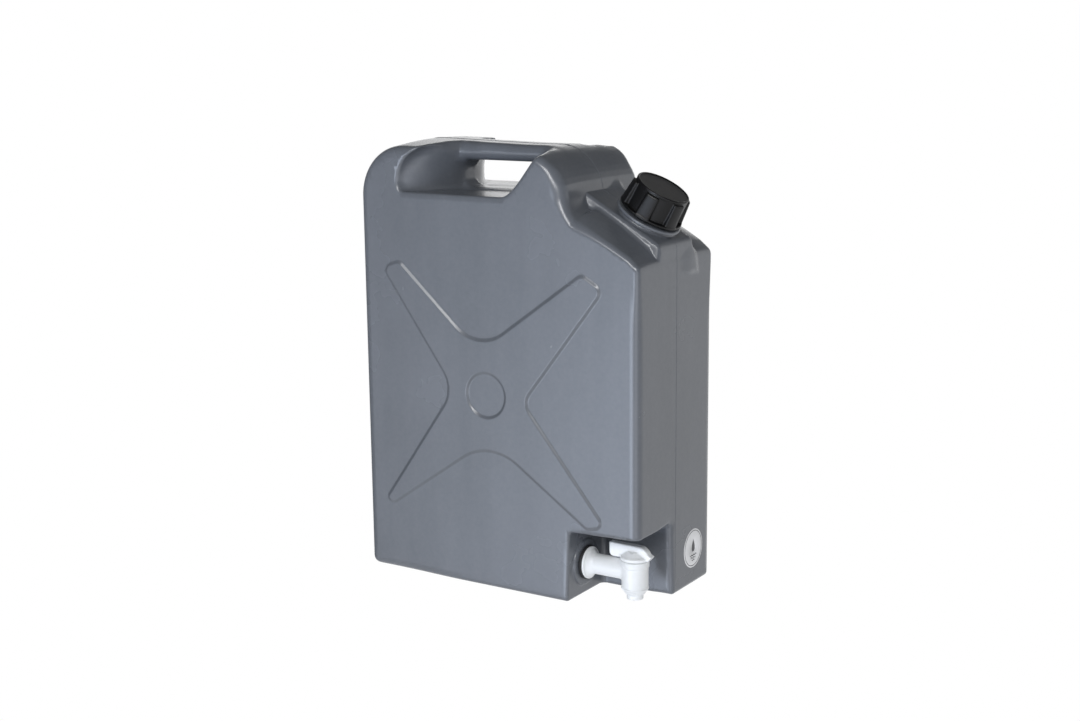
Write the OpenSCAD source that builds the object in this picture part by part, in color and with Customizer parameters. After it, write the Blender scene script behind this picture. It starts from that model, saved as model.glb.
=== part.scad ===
// Twenty litre water can with a screw filler cap and a quarter-turn drain tap.
// Origin: middle of the base. X runs along the can, the tap end is +X.
// Y runs across the can, the tap recess opens towards -Y. Z is up.
// Name endings: _l length, _w width, _h height, _r radius, _k slope, _n count,
// _x, _y and _z places on those axes.

/* [Tank] */
// Length of the can along X
tank_l = 345; // [340:1:350]
// Width between the two flat broad faces
tank_w = 162; // [160:1:170]
// Height to the highest point of the arched roof
tank_h = 475.3; // [474:0.1:476]
// Radius of the arch of the roof across the can
roof_r = 562; // [540:1:600]
// Fall of the roof from the back of the handle to the tap end, degrees
roof_fall = 1.2; // [1:0.1:1.4]
// Moulded wall thickness
wall = 3; // [2.5:0.5:4]
// Radius of the upright edges
edge_r = 9; // [7:1:11]
// Radius of the top corner behind the handle
crown_r = 54; // [48:1:58]
// Radius of the corners at the base
base_r = 9; // [6:1:11]

/* [Shoulder and neck] */
// Height of the low shoulder at the tap end
shoulder_z = 362; // [358:1:366]
// Slope of the low shoulder at the tap end, rise over run
shoulder_k = 0.62; // [0.58:0.01:0.64]
// Half width of the raised neck platform
plat_half = 38; // [37:1:40]
// Tilt of the filler neck from upright, degrees
neck_tilt = 30; // [30:1:30]
// Radius of the round flange under the cap
flange_r = 35.5; // [34:0.5:36]
// Outer radius of the smooth neck land that the cap turns on
neck_r = 24; // [24:0.5:24]
// Bore radius of the filler neck
neck_bore_r = 18.5; // [16:0.5:19]
// Thread pitch of neck and cap
pitch = 5; // [5:0.5:5]

/* [Handle] */
// Height of the pocket floor
pocket_z = 423; // [421:1:425]
// Lowest point of the hand tunnel
tunnel_z = 427; // [426:1:428]
// Underside of the handle bar
bar_z = 454; // [452:1:455]
// Half depth of the handle bar
bar_half = 24; // [20:1:28]

/* [Cross emboss] */
// Height of the raised cross on the broad faces
cross_h = 1.8; // [1:0.2:2.4]
// Radius of the round dimple at the middle of the cross
dimple_r = 24; // [18:0.5:26]

/* [Tap recess] */
// Length of the recess along X at the floor
recess_l = 84; // [82:1:85]
// Height of the recess
recess_h = 78; // [76:1:80]
// Y position of the inner side of the recess
recess_y = -7; // [-9:1:-6]

/* [Tap] */
// X position of the upright barrel axis
tap_x = 149.5; // [148:0.5:150]
// Y position of the tap axis
tap_y = -46; // [-47:0.5:-45]
// Height of the tap tube axis
tap_z = 36; // [35:0.5:37]
// Outer radius of the barrel
barrel_r = 14.2; // [13.8:0.1:14.6]
// Bore radius of the barrel
barrel_bore_r = 10.5; // [10:0.1:11]
// Outer radius of the tap tube
tube_r = 11; // [10.5:0.1:11.5]
// Outer radius of the nozzle
nozzle_r = 8.8; // [8.5:0.1:9.2]
// Bore radius of the nozzle
nozzle_bore_r = 6.4; // [6:0.1:6.6]

/* [Cap] */
// Radius of the cap at the foot of its skirt
cap_r = 34.4; // [33:0.2:34.6]
// Radius of the top disc of the cap
cap_top_r = 29.2; // [28.8:0.2:29.4]
// Height of the cap
cap_h = 30.2; // [30:0.2:31]
// Number of grip lugs
lug_n = 6; // [4:1:8]

/* [Label] */
// Radius of the round label
label_r = 21.4; // [18:0.2:22]

/* [Hidden] */
$fn = 64;
half_l = tank_l / 2;
half_w = tank_w / 2;
run_gap = 0.05;  // running gap of the cap on the neck and of the key in the barrel
over = 20;       // how far cutters reach past the outside of the can

// ---- shared shapes ---------------------------------------------------

// points on an arc from one angle to another
function arc(centre_x, centre_z, radius, from, to, steps = 12) =
    [for (i = [0:steps]) let (angle = from + (to - from) * i / steps)
        [centre_x + radius * cos(angle), centre_z + radius * sin(angle)]];

// extrudes an X-Z outline across the can, centred on Y = 0
module along_y(width) {
    rotate([90, 0, 0]) linear_extrude(width, center = true) children();
}

module both_faces() {
    children();
    mirror([0, 1, 0]) children();
}

// coaxial discs and cones; rows: start, height, radius, top radius where it differs
module stack(rows) {
    for (row = rows)
        translate([0, 0, row[0]]) cylinder(h = row[1], r1 = row[2], r2 = row[len(row) - 1]);
}

module ring(height, outer_r, inner_r, cut_h) {
    difference() {
        cylinder(h = height, r = outer_r);
        translate([0, 0, -1]) cylinder(h = cut_h, r = inner_r);
    }
}

// ---- tank body -------------------------------------------------------

crown_x = -half_l + crown_r;
shoulder_r = 8;          // rounding of the shoulder into the tap end
shoulder_ease = 0.0016;  // how fast the shoulder slope eases towards the handle
plat_k = tan(neck_tilt); // the platform is square to the neck

function plat_line(x) = 424.8 - (x - 89.6) * plat_k;
function low_line(x) =
    let (run = half_l - x) shoulder_z + run * shoulder_k - shoulder_ease * run * run;

// X and Z of the steep rise from the low shoulder to the handle hump
HUMP_RISE = [[96, low_line(96) + 1.5], [91.5, 408], [88, 416], [85, 426], [81, 437.5]];

// side outline with the handle hump and the low shoulder
module side_outline() {
    top_z = tank_h + 4;  // above the roof, which trims it
    polygon(concat(
        arc(-half_l + base_r, base_r, base_r, 180, 270, 6),
        arc(half_l - base_r, base_r, base_r, 270, 360, 6),
        arc(half_l - shoulder_r, shoulder_z - 5.5, shoulder_r, 0, 60, 5),
        [for (x = [158:-10:98]) [x, low_line(x)]],
        HUMP_RISE,
        arc(38, 431, 42, 24, 88, 8),
        [[20, top_z], [crown_x + 6, top_z]],
        arc(crown_x, tank_h - crown_r, crown_r, 90, 180, 14)));
}

// raised platform that carries the neck, cut square at the tap end
module platform_outline(inset) {
    end_x = half_l - 0.4 - inset;
    polygon([
        [60, 380],
        [end_x, 340],
        [end_x, plat_line(half_l) - 5 - inset],
        [half_l - 6 - inset, plat_line(half_l - 6) - inset],
        [92, plat_line(92) - inset],
        [78, 433 - inset],
        [60, 440 - inset]]);
}

// gently arched roof: the side of a long cylinder that falls towards the tap end
module roof(inset) {
    translate([crown_x, 0, tank_h]) rotate([0, roof_fall, 0])
        translate([0, 0, -roof_r]) rotate([0, 90, 0])
            cylinder(h = 900, r = roof_r - inset, center = true, $fn = 360);
}

// upright block with the rounded plan of the can
module plan_block(inset) {
    plan_x = half_l - inset;
    plan_y = half_w - inset;
    corner_r = edge_r - inset;
    translate([0, 0, -10]) linear_extrude(tank_h + 20) union() {
        square([2 * (plan_x - corner_r), 2 * plan_y], center = true);
        square([2 * plan_x, 2 * (plan_y - corner_r)], center = true);
        for (x = [-1, 1], y = [-1, 1])
            translate([x * (plan_x - corner_r), y * (plan_y - corner_r)]) circle(corner_r);
    }
}

// the child is the side outline, already inset
module body(inset) {
    intersection() {
        union() {
            along_y(tank_w + 10) children();
            along_y(2 * (plat_half - inset)) platform_outline(inset);
        }
        plan_block(inset);
        roof(inset);
    }
}

// ---- handle ----------------------------------------------------------

tunnel_start_x = -78;
tunnel_end_x = 34;
tunnel_corner_r = 9;
pocket_plan_x = -127;   // where the pocket leaves the broad face, in plan
pocket_end_x = -73;     // centre of the rounded pocket end
pocket_end_r = 52;
pocket_rise_x = 8;      // where the pocket floor starts to rise
pocket_rise_l = 64;
pocket_rise_h = 53;

// S-curve from 0 to 1
function smooth_step(part) = part * part * (3 - 2 * part);

// the grow value of each cutter keeps the cavity a wall away from it
module pocket_front(grow) {
    polygon(concat(
        [for (i = [0:12]) [pocket_rise_x + pocket_rise_l * i / 12 + grow,
                           pocket_z - grow + pocket_rise_h * smooth_step(i / 12)]],
        [[90 + grow, 500], [pocket_end_x, 500]],
        arc(pocket_end_x, pocket_z, pocket_end_r + grow, 90, 180),
        [[pocket_end_x - pocket_end_r - grow, pocket_z - grow]]));
}

module pocket_plan(grow) {
    face_y = -half_w + grow;
    polygon(concat(
        [[pocket_plan_x - grow, -half_w - over], [pocket_plan_x - grow, face_y]],
        [for (i = [1:10]) let (part = i / 10)
            [pocket_plan_x + (tunnel_start_x - pocket_plan_x) * part,
             face_y + (half_w - bar_half) * (0.55 * part + 0.45 * part * part * part)]],
        [[120, -bar_half + grow], [120, -half_w - over]]));
}

// hand pocket on the -Y face: front outline crossed with a plan outline
module pocket(grow) {
    intersection() {
        along_y(tank_w + 2 * over) pocket_front(grow);
        translate([0, 0, 400]) linear_extrude(120) pocket_plan(grow);
    }
}

module rounded_slot(start_x, end_x, low_z, high_z, radius) {
    slot_l = end_x - start_x;
    slot_h = high_z - low_z;
    translate([start_x + radius, low_z]) square([slot_l - 2 * radius, slot_h]);
    translate([start_x, low_z + radius]) square([slot_l, slot_h - 2 * radius]);
    for (x = [start_x + radius, end_x - radius], z = [low_z + radius, high_z - radius])
        translate([x, z]) circle(radius);
}

module handle_cut(grow = 0) {
    both_faces() pocket(grow);
    along_y(tank_w + 30)
        rounded_slot(tunnel_start_x - grow, tunnel_end_x + grow,
                     tunnel_z - grow, bar_z + grow, tunnel_corner_r);
}

// ---- tap recess ------------------------------------------------------

recess_x = half_l - recess_l;  // upright wall that the tap screws against
boss_start = -12;              // along the tube axis, from that wall
boss_face = 2.5;
boss_r = 25;

// recess for the tap, open to the tap end, the -Y face and the floor
module tap_recess(grow = 0) {
    translate([recess_x - grow, -half_w - over, -over])
        cube([recess_l + 2 * over, half_w + over + recess_y + grow, recess_h + over + grow]);
}

// frame on the tap tube axis: local Z runs along +X from the recess wall
module tube_frame() {
    translate([recess_x, tap_y, tap_z]) rotate([0, 90, 0]) children();
}

// ---- cross emboss ----------------------------------------------------

cross_root = 1;      // depth of the cross inside the broad face
dimple_x = -11;
dimple_z = 212.5;
dimple_floor = 0.2;  // height of the dimple floor above the broad face

// corners of the cross: X, Z, corner radius
CROSS = [
    [-19.7, 257.9, 48], [107, 349.5, 9], [132, 335, 9],
    [35.1, 209.3, 16], [134, 88.6, 7], [112, 84.5, 7],
    [-7.1, 165.1, 62], [-136, 77.3, 5], [-148, 78.7, 5],
    [-52.2, 214.4, 32], [-143.8, 341, 8], [-121, 348, 8]];

function xy(point) = [point[0], point[1]];
function direction(start, end) = (xy(end) - xy(start)) / norm(xy(end) - xy(start));

// arc that rounds one corner between its two neighbours
function corner_arc(before, corner, after, steps = 6) =
    let (radius = corner[2],
         to_before = direction(corner, before),
         to_after = direction(corner, after),
         half_angle = acos(to_before * to_after) / 2,
         bisector = (to_before + to_after) / norm(to_before + to_after),
         centre = xy(corner) + bisector * radius / sin(half_angle),
         tangent_l = radius / tan(half_angle),
         first = xy(corner) + to_before * tangent_l - centre,
         last = xy(corner) + to_after * tangent_l - centre,
         start = atan2(first[1], first[0]),
         sweep = atan2(first[0] * last[1] - first[1] * last[0], first * last))
    [for (i = [0:steps]) let (angle = start + sweep * i / steps)
        centre + radius * [cos(angle), sin(angle)]];

module cross_shape() {
    count = len(CROSS);
    polygon([for (i = [0:count - 1])
        each corner_arc(CROSS[(i + count - 1) % count], CROSS[i], CROSS[(i + 1) % count])]);
}

// raised cross on the -Y face
module cross_panel() {
    difference() {
        translate([0, -half_w + cross_root, 0]) rotate([90, 0, 0])
            linear_extrude(cross_root + cross_h) cross_shape();
        translate([dimple_x, -half_w - dimple_floor, dimple_z]) rotate([90, 0, 0])
            cylinder(h = 10, r = dimple_r);
    }
}

// ---- filler neck -----------------------------------------------------

neck_x = 136.6;
neck_top = 33;  // along the neck axis, from the platform
thread_start = 20.2;
thread_turns = 1.75;

// frame at the foot of the neck, local Z runs up the tilted neck axis
module neck_frame() {
    translate([neck_x, 0, plat_line(neck_x)]) rotate([0, neck_tilt, 0]) children();
}

// helical ridge of four-point sections, lower at both ends;
// it points inwards where the crest radius is the smaller one
module thread_ridge(root_r, crest_r, turn_steps = 24) {
    last = floor(thread_turns * turn_steps);
    outward = crest_r > root_r;
    points = [
        for (i = [0:last])
            let (angle = 360 * i / turn_steps,
                 z = thread_start + pitch * i / turn_steps,
                 fade = min(1, i / 4, (last - i) / 4),
                 top_r = root_r + (crest_r - root_r) * (0.15 + 0.85 * fade))
            for (p = [[root_r, z - 1.2], [top_r, z - 0.5], [top_r, z + 0.5], [root_r, z + 1.2]])
                [p[0] * cos(angle), p[0] * sin(angle), p[1]]];
    sides = [
        for (i = [0:last - 1], k = [0:3])
            let (a = 4 * i + k, b = 4 * i + (k + 1) % 4)
            outward ? [a, b, b + 4, a + 4] : [a, a + 4, b + 4, b]];
    end = 4 * last;
    caps = outward ? [[3, 2, 1, 0], [end, end + 1, end + 2, end + 3]]
                   : [[0, 1, 2, 3], [end + 3, end + 2, end + 1, end]];
    polyhedron(points = points, faces = concat(
        [for (f = sides) [f[0], f[1], f[2]]],
        [for (f = sides) [f[0], f[2], f[3]]],
        caps), convexity = 8);
}

module neck_solid() {
    neck_frame() {
        stack([
            [-14, 19, 31],              // root, sunk in the platform
            [4, 3.4, flange_r],
            [7, 9, neck_r],             // smooth land
            [15, neck_top - 15, 22.2]]);  // threaded tube
        thread_ridge(22.0, 23.6);
    }
}

// ---- tank ------------------------------------------------------------

module tank_solid() {
    difference() {
        body(0) side_outline();
        handle_cut();
        tap_recess();
    }
    both_faces() cross_panel();
    neck_solid();
    tube_frame() stack([[boss_start, boss_face - boss_start, boss_r]]);
}

module tank_cavity() {
    difference() {
        body(wall) offset(delta = -wall) side_outline();
        handle_cut(wall);
        tap_recess(wall);
        tube_frame() stack([[boss_start, 20, boss_r - 0.1]]);
    }
}

module tank() {
    color([0.40, 0.42, 0.46]) difference() {
        tank_solid();
        tank_cavity();
        neck_frame() stack([[-30, 70, neck_bore_r]]);
        tube_frame() stack([[-20, 40, 13.2]]);
    }
}

// ---- filler cap ------------------------------------------------------

cap_lift = 10;  // foot of the cap along the neck axis, from the platform
lug_w = 15;
lug_start = 42; // angle of the first lug

module grip_lugs() {
    intersection() {
        union() for (i = [0:lug_n - 1]) rotate([0, 0, lug_start + 360 * i / lug_n])
            translate([22, -lug_w / 2, 1]) cube([14, lug_w, cap_h - 4.4]);
        cylinder(h = cap_h, r1 = cap_r, r2 = 31.6);
    }
}

module filler_cap() {
    color([0.08, 0.08, 0.09]) neck_frame() {
        translate([0, 0, cap_lift]) difference() {
            union() {
                stack([
                    [0, 2.4, cap_r],                          // foot rim
                    [2, cap_h - 2.6, 29.6, cap_top_r - 0.4],  // skirt
                    [cap_h - 1.4, 1.4, cap_top_r]]);          // top disc
                grip_lugs();
            }
            stack([
                [-1, cap_h - 2.2, neck_r + run_gap],     // bore
                [cap_h - 0.6, 2, cap_top_r - 1.6]]);     // shallow dish in the top
        }
        rotate([0, 0, 180]) thread_ridge(neck_r + 0.4, 22.6);
    }
}

module cap_gasket() {
    color([0.2, 0.2, 0.2]) neck_frame() translate([0, 0, neck_top + 0.1])
        ring(3.8, 23.7, 17.5, 8);
}

// ---- tap -------------------------------------------------------------

washer_h = 3;
collar_start = boss_face + washer_h;
port_r = 5.8;         // core and side port of the key
port_roof = 6;        // top of the core above the tube axis
groove_h = 2.2;
ring_section_r = 0.7;
upper_ring_z = 46;
lower_ring_z = 20.5;

// frame on the upright barrel axis at the height of the base
module barrel_frame() {
    translate([tap_x, tap_y, 0]) children();
}

module tap_washer() {
    color([0.07, 0.07, 0.07]) tube_frame() translate([0, 0, boss_face])
        ring(washer_h, 18.2, 13.3, 6);
}

module tap_body() {
    color([0.93, 0.93, 0.94]) difference() {
        union() {
            tube_frame() stack([
                [-13, 18.6, 13.1],                  // spigot through the tank wall
                [collar_start, 2.6, 17.2],          // collar against the washer
                [8, 5, 15.6, tube_r],
                [8, tap_x - recess_x - 8, tube_r]]);
            barrel_frame() stack([
                [17, 30.5, barrel_r],
                [41, 7, barrel_r + 0.8],            // top rim
                [12, 5.01, 10.5, barrel_r],
                [6, 7, nozzle_r]]);
        }
        tube_frame() stack([[-20, tap_x - recess_x + 16, 6.5]]);
        barrel_frame() stack([
            [0, 30, nozzle_bore_r],
            [16, 10, 9.6],                          // seat of the lower plug
            [23, 40, barrel_bore_r]]);
    }
}

// X from the barrel axis and Z of the lever outline, its raised end towards -X
LEVER = concat(
    [[-29, 64.5], [-29, 54]],
    arc(-24, 54, 5, 180, 270, 5),
    [[-20, 49], [-15, 49.5], [15, 49.5], [16.6, 48.9], [21, 54]],
    arc(4, 50, 14.5, 26, 72, 5));

module ring_groove(middle_z, inner_r) {
    translate([0, 0, middle_z - groove_h / 2])
        ring(groove_h, barrel_bore_r + 1, inner_r, 5);
}

// turning key: cored plug with a side port towards +Y, lever head on top
module tap_key() {
    color([0.95, 0.95, 0.95]) barrel_frame() difference() {
        union() {
            stack([
                [24, 27, barrel_bore_r - run_gap],  // upper plug
                [17, 8, 9.4],                       // lower plug
                [48.4, 4, 15.2],                    // head disc
                [52, 5.5, 14.6, 8]]);               // cone on the head
            along_y(9) polygon(LEVER);
        }
        stack([[10, tap_z + port_roof - 10, port_r]]);
        translate([0, 0, tap_z]) rotate([-90, 0, 0]) cylinder(h = 20, r = port_r);
        ring_groove(upper_ring_z, 9);
        ring_groove(lower_ring_z, 8);
    }
}

module key_ring(z, radius) {
    barrel_frame() translate([0, 0, z])
        rotate_extrude() translate([radius, 0]) circle(r = ring_section_r, $fn = 24);
}

module key_ring_upper() {
    color([0.07, 0.07, 0.07]) key_ring(upper_ring_z, 9.78);
}

module key_ring_lower() {
    color([0.07, 0.07, 0.07]) key_ring(lower_ring_z, 8.82);
}

// ---- label -----------------------------------------------------------

label_y = 40.6;
label_z = 40.4;
label_h = 0.35;

// round label on the tap end
module capacity_label() {
    color([0.96, 0.96, 0.96]) translate([half_l, label_y, label_z]) rotate([0, 90, 0])
        cylinder(h = label_h, r = label_r);
}

tank();
filler_cap();
cap_gasket();
tap_washer();
tap_body();
tap_key();
key_ring_upper();
key_ring_lower();
capacity_label();
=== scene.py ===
"""Plastic water can with a screw cap and a lever tap, built over its CAD frame.

The can stands on z = 0 and is centred on x = y = 0. Its long side runs along x, its broad
faces look to -y (front) and +y (back). The filler neck leans to +x on a sloping platform at
the top, and the tap sits in a recess at the foot of the +x end, on the -y side.
Shapes are in millimetres; new_object scales them to metres. Solids are signed distance
fields, negative inside. A factor on a sloping surface brings it back near true distance.
"""
import bpy, math
import numpy as np
import openvdb
import mathutils.geometry
from mathutils import Vector, Matrix


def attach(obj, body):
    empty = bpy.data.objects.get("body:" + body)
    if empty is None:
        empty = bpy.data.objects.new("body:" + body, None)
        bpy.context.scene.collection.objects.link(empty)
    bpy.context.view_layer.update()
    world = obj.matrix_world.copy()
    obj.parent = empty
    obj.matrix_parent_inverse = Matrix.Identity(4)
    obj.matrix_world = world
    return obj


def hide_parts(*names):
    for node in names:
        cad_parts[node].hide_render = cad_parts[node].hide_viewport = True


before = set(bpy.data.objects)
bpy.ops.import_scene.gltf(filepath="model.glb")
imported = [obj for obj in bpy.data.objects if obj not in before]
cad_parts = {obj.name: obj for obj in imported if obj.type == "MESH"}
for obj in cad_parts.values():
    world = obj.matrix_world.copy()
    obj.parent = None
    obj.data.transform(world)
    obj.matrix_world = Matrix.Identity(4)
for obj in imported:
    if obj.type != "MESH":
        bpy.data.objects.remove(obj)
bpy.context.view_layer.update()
MM = 0.001

# ----------------------------------------------------------------------------
# driving dimensions
# ----------------------------------------------------------------------------
HALF_X, HALF_Y, HEIGHT = 172.5, 81.0, 470.0
FACE_Y = HALF_Y - 0.32                 # broad faces, slightly sunk
WALL = 3.0
SHOULDER_Z = 362                       # height of the +x end below the shoulder

# platform: its upper edge, and the 30 degree slope it shares with the neck
PLATFORM_X, PLATFORM_Z = 89.6, 424.8
TILT_SIN, TILT_COS = 0.5, math.cos(math.radians(30))
NECK_X = 136.6
NECK_Z = PLATFORM_Z - (NECK_X - PLATFORM_X) * math.tan(math.radians(30))
NECK_ROT = np.array([[TILT_COS, 0, TILT_SIN], [0, 1, 0], [-TILT_SIN, 0, TILT_COS]])
NECK_POSE = (NECK_ROT, np.array([NECK_X, 0.0, NECK_Z]))   # neck frame -> can frame

# helical thread shared by neck and cap, in the neck frame
THREAD_PITCH, THREAD_Z, THREAD_TURNS = 5.0, 20.2, 1.75
THREAD_HALF, THREAD_FLANK = 1.05, 0.65

# tap: upright axis at (TAP_X, TAP_Y), bore along x at (TAP_Y, TAP_Z)
TAP_X, TAP_Y, TAP_Z = 149.5, -46.0, 36.0
BOSS_X = 91.0                          # face of the boss round the tap hole
# lever seals: name, z, radius of groove floor, radius of ring centre
SEALS = (("o_ring_upper", 46.0, 9.0, 9.78), ("o_ring_lower", 20.5, 8.0, 8.82))
SEAL_WIRE = 0.68

POCKET_X, POCKET_RUN, POCKET_Y = -127.0, 49.0, 24.0    # pocket start, ramp length, back wall

# raised cross: corners (x, z, corner radius), height, and the round dimple in it
CROSS = [(-19.7, 257.9, 48), (107, 349.5, 9), (132, 335, 9), (35.1, 209.3, 16),
         (134, 88.6, 7), (112, 84.5, 7), (-7.1, 165.1, 62), (-136, 77.3, 5),
         (-148, 78.7, 5), (-52.2, 214.4, 32), (-143.8, 341, 8), (-121, 348, 8)]
CROSS_H, CROSS_LIFT = 1.8, 0.03        # rise, and foot above the face
DIMPLE_X, DIMPLE_Z, DIMPLE_R = -11.0, 212.5, 24.0

LABEL_X, LABEL_Y, LABEL_Z, LABEL_R = HALF_X + 0.02, 40.6, 40.4, 21.4
PRINT_BASE, PRINT_TOP = 0.2, 0.33      # print heights over the +x end


# ----------------------------------------------------------------------------
# distance tools
# ----------------------------------------------------------------------------
def radial(a, b):
    return np.sqrt(a * a + b * b)


def meet(a, b, edge=None):
    """Intersection, sharp or with a round edge."""
    if edge is None:
        return np.maximum(a, b)
    return (np.minimum(np.maximum(a, b), -edge)
            + radial(np.maximum(a + edge, 0), np.maximum(b + edge, 0)))


def cut(a, b, edge=None):
    return meet(a, -b, edge)


def join(a, b, fillet):
    """Union with a round fillet."""
    return (np.maximum(np.minimum(a, b), fillet)
            - radial(np.maximum(fillet - a, 0), np.maximum(fillet - b, 0)))


def rise(start, end, x):
    """Smooth step from 0 at start to 1 at end."""
    t = np.clip((x - start) / (end - start), 0.0, 1.0)
    return t * t * (3 - 2 * t)


def fall(start, end, x):
    return 1.0 - rise(start, end, x)


def slab(along, middle, half):
    return np.abs(along - middle) - half


def cylinder(reach, radius, along, middle, half, edge=None):
    """reach is the distance from the axis, along the place on it."""
    return meet(reach - radius, slab(along, middle, half), edge)


def cone(reach, along, radius, at, slope, scale, middle, half):
    """Cone of the given radius at `at`, between middle - half and middle + half."""
    return meet((reach - (radius + slope * (along - at))) * scale, slab(along, middle, half))


def stack(reach, along, rows):
    """Coaxial cylinders; rows are radius, middle, half length, edge, fillet to those before."""
    f = None
    for radius, middle, half, edge, fillet in rows:
        part = cylinder(reach, radius, along, middle, half, edge)
        f = part if f is None else join(f, part, fillet)
    return f


def arc(cx, cz, r, start, end, n):
    angles = np.radians(np.linspace(start, end, n + 1))
    return [(cx + r * math.cos(v), cz + r * math.sin(v)) for v in angles]


def polygon_distance(px, pz, points):
    """Exact signed distance to a closed polygon, negative inside."""
    points = np.asarray(points, float)
    best = np.full(np.shape(px), 1e18)
    inside = np.zeros(np.shape(px), bool)
    for (ax, az), (bx, bz) in zip(points, np.roll(points, -1, 0)):
        ex, ez = bx - ax, bz - az
        wx, wz = px - ax, pz - az
        length2 = ex * ex + ez * ez
        if length2 < 1e-12:
            continue
        t = np.clip((wx * ex + wz * ez) / length2, 0, 1)
        dx, dz = wx - t * ex, wz - t * ez
        best = np.minimum(best, dx * dx + dz * dz)
        if ez != 0:
            inside ^= ((az > pz) != (bz > pz)) & (px < ax + (pz - az) * ex / ez)
    d = np.sqrt(best)
    return np.where(inside, -d, d)


class OutlineField:
    """Smooth x, z field: a cubic B-spline over samples of a polygon distance."""

    def __init__(self, points, x0, x1, z0, z1, cell=1.0):
        self.x0, self.z0, self.cell = x0, z0, cell
        xs = np.arange(x0, x1 + cell / 2, cell)
        zs = np.arange(z0, z1 + cell / 2, cell)
        grid = np.meshgrid(xs, zs, indexing="ij")
        self.samples = polygon_distance(*grid, points).astype(np.float32)

    def __call__(self, x, z):
        nx, nz = self.samples.shape
        u = np.clip((x - self.x0) / self.cell, 1.0, nx - 2.001)
        v = np.clip((z - self.z0) / self.cell, 1.0, nz - 2.001)
        i = np.floor(u).astype(np.int32)
        j = np.floor(v).astype(np.int32)

        def weights(t):
            return ((1 - t) ** 3 / 6, (3 * t ** 3 - 6 * t ** 2 + 4) / 6,
                    (-3 * t ** 3 + 3 * t ** 2 + 3 * t + 1) / 6, t ** 3 / 6)
        wu, wv = weights(u - i), weights(v - j)
        out = 0.0
        for a in range(4):
            for b in range(4):
                out = out + wu[a] * wv[b] * self.samples[i + a - 1, j + b - 1]
        return out


# ----------------------------------------------------------------------------
# mesh tools
# ----------------------------------------------------------------------------
def new_object(name, verts, faces, normals=None, smooth=True):
    """Object from millimetre vertices."""
    mesh = bpy.data.meshes.new(name)
    mesh.from_pydata((verts * MM).tolist(), [], faces)
    mesh.validate(clean_customdata=False)
    mesh.update()
    if smooth:
        mesh.polygons.foreach_set("use_smooth", [True] * len(mesh.polygons))
    ob = bpy.data.objects.new(name, mesh)
    bpy.context.scene.collection.objects.link(ob)
    if normals is not None:
        mesh.normals_split_custom_set_from_vertices(normals.tolist())
    return ob


BAND = 3.0             # distances are clipped to this
SLAB_CELLS = 1.5e6     # grid cells worked out at once
GRADIENT_STEP = 0.12
SETTLE_STEPS = 3


def piece(name, f, low, high, cells, adapt, pose=None, flat_foot=False):
    """Mesh the zero surface of f in the box low..high, settle every vertex on the true
    surface and give it the true normal. cells is (quick, full) cell size; the quick size is not
    used."""
    cell = cells[1]
    low = np.asarray(low, float)
    n = np.ceil((np.asarray(high, float) - low) / cell).astype(int) + 1
    xs, ys, zs = ((low[k] + cell * np.arange(n[k])).astype(np.float32) for k in range(3))
    volume = np.empty(n, np.float32)
    depth = max(1, int(SLAB_CELLS / (n[1] * n[2])))
    for s in range(0, n[0], depth):
        x = xs[s:s + depth][:, None, None]
        volume[s:s + depth] = np.clip(f(x, ys[None, :, None], zs[None, None, :]), -BAND, BAND)
    grid = openvdb.FloatGrid(BAND)
    grid.copyFromArray(volume, ijk=(0, 0, 0), tolerance=1e-4)
    points, tris, quads = grid.convertToPolygons(isovalue=0.0, adaptivity=adapt)
    p = points.astype(np.float64) * cell + low

    def gradient(q):
        out = np.empty_like(q)
        for k in range(3):
            a, b = q.copy(), q.copy()
            a[:, k] += GRADIENT_STEP
            b[:, k] -= GRADIENT_STEP
            out[:, k] = (f(*a.T) - f(*b.T)) / (2 * GRADIENT_STEP)
        return out

    home = p.copy()
    for _ in range(SETTLE_STEPS):
        value = f(p[:, 0], p[:, 1], p[:, 2])
        slope = gradient(p)
        steepness = np.maximum((slope ** 2).sum(1), 0.2)
        p = p - (np.clip(value, -cell, cell) / steepness)[:, None] * slope
    far = np.linalg.norm(p - home, axis=1) > 1.2 * cell
    p[far] = home[far]
    slope = gradient(p)
    normals = slope / np.maximum(np.linalg.norm(slope, axis=1), 1e-9)[:, None]
    faces = [tuple(c[::-1]) for c in tris.tolist()] + [tuple(c[::-1]) for c in quads.tolist()]
    # make the winding agree with the outward normals
    probe = faces[len(faces) // 2]
    a, b, c = (p[i] for i in probe[:3])
    if np.dot(np.cross(b - a, c - a), normals[list(probe)].mean(0)) < 0:
        faces = [face[::-1] for face in faces]
    if pose is not None:
        rot, place = pose
        p = p @ rot.T + place
        normals = normals @ rot.T
    if flat_foot:
        p[:, 2] = np.maximum(p[:, 2], 0.0)
    return new_object(name, p, faces, normals)


def lathe(name, profile, n, rot=np.eye(3), place=(0, 0, 0)):
    """Turn a closed (r, z) profile about the local z axis."""
    profile = np.asarray(profile, float)
    m = len(profile)
    a = np.linspace(0, 2 * np.pi, n, endpoint=False)
    v = np.empty((n, m, 3))
    v[:, :, 0] = np.cos(a)[:, None] * profile[:, 0]
    v[:, :, 1] = np.sin(a)[:, None] * profile[:, 0]
    v[:, :, 2] = profile[:, 1]
    v = v.reshape(-1, 3) @ rot.T + np.array(place)
    faces = []
    for i in range(n):
        here, there = i * m, (i + 1) % n * m
        for k in range(m):
            k2 = (k + 1) % m
            faces.append((here + k, there + k, there + k2, here + k2))
    return new_object(name, v, faces)


def round_rect(r0, r1, z0, z1, c):
    """Closed (r, z) rectangle with corner radius c."""
    return (arc(r1 - c, z0 + c, c, -90, 0, 4) + arc(r1 - c, z1 - c, c, 0, 90, 4)
            + arc(r0 + c, z1 - c, c, 90, 180, 4) + arc(r0 + c, z0 + c, c, 180, 270, 4))


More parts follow.
